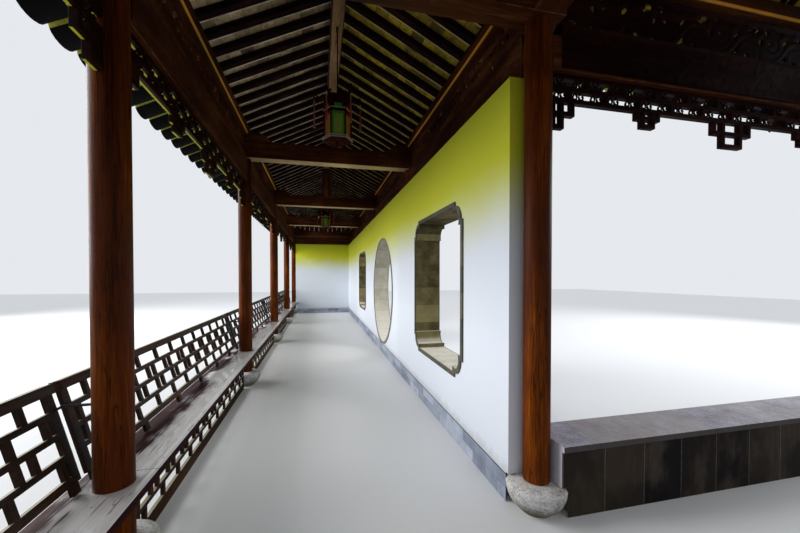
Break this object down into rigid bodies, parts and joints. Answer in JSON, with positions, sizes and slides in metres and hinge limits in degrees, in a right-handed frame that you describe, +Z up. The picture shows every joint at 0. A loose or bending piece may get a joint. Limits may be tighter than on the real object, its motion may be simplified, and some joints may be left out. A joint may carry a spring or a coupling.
{
  "type": "moon gate gallery",
  "caption": "Covered garden gallery with a round moon gate and lobed windows in its white wall, a pond-side seat with a fret back rest, and hanging lanterns.",
  "frame": {"origin": "at ground level under the centre of the moon gate, in the mid-plane of the wall", "axes": "+Z up, +Y along the main wing away from the square corner, +X from the pond side to the courtyard side, along the moon gate's axis"},
  "size_m": [7.13, 17.33, 4.8348],
  "materials": {
    "plaster": "white lime plaster, matt",
    "brick": "fine rubbed grey brick, matt",
    "timber": "red-brown oiled timber, satin",
    "seat_wood": "red-brown board worn to a gloss",
    "pale_timber": "weathered grey-brown timber",
    "carved_timber": "dark red-brown carved timber",
    "rafter_timber": "weathered dark brown timber",
    "fret_timber": "near-black brown timber, satin",
    "tile": "unglazed dark grey clay tile",
    "granite": "pocked pale granite",
    "parapet_stone": "grey-brown dressed stone",
    "iron": "black wrought iron",
    "lantern_wood": "dark red-brown carved wood",
    "lantern_glass": "painted glass, yellow-green",
    "tassel": "red silk tassel"
  },
  "bodies": {
    "gallery": {"wall_near": "plaster", "wall_gate": "plaster", "wall_far": "plaster", "wall_plain": "plaster", "end_wall": "plaster", "wall_plinths": "brick", "moon_gate_lining": "brick", "window_linings": "brick", "columns": "timber", "cross_beams": "timber", "king_posts": "timber", "eaves_purlins": "timber", "hip_and_valley": "timber", "lintels": "timber", "gable_boards": "timber", "seat_board": "seat_wood", "ridge_purlins": "pale_timber", "frieze_boards": "carved_timber", "hanging_fret_pond": "carved_timber", "hanging_fret_wing": "carved_timber", "rafters_pond": "rafter_timber", "rafters_court": "rafter_timber", "rafters_wing_outer": "rafter_timber", "rafters_wing_court": "rafter_timber", "seat_fret": "fret_timber", "back_rest_near": "fret_timber", "back_rest_middle": "fret_timber", "back_rest_far": "fret_timber", "roof_pond": "tile", "roof_court": "tile", "roof_wing_outer": "tile", "roof_wing_court": "tile", "roof_crests": "tile", "column_bases": "granite", "parapet": "parapet_stone", "parapet_coping": "parapet_stone", "back_rest_ties": "iron", "lantern_hooks": "iron"},
    "near_lantern": {"near_lantern_frame": "lantern_wood", "near_lantern_panes": "lantern_glass", "near_lantern_tassels": "tassel"},
    "far_lantern": {"far_lantern_frame": "lantern_wood", "far_lantern_panes": "lantern_glass", "far_lantern_tassels": "tassel"}
  },
  "joints": [
    {"name": "near_lantern_swing", "type": "hinge", "parent": "gallery", "child": "near_lantern", "pos_m": [-1.25, -3.4, 4.195], "axis": [0, 1, 0], "range_deg": [-15, 15]},
    {"name": "far_lantern_swing", "type": "hinge", "parent": "gallery", "child": "far_lantern", "pos_m": [-1.25, 3.4, 4.195], "axis": [0, 1, 0], "range_deg": [-15, 15]}
  ]
}
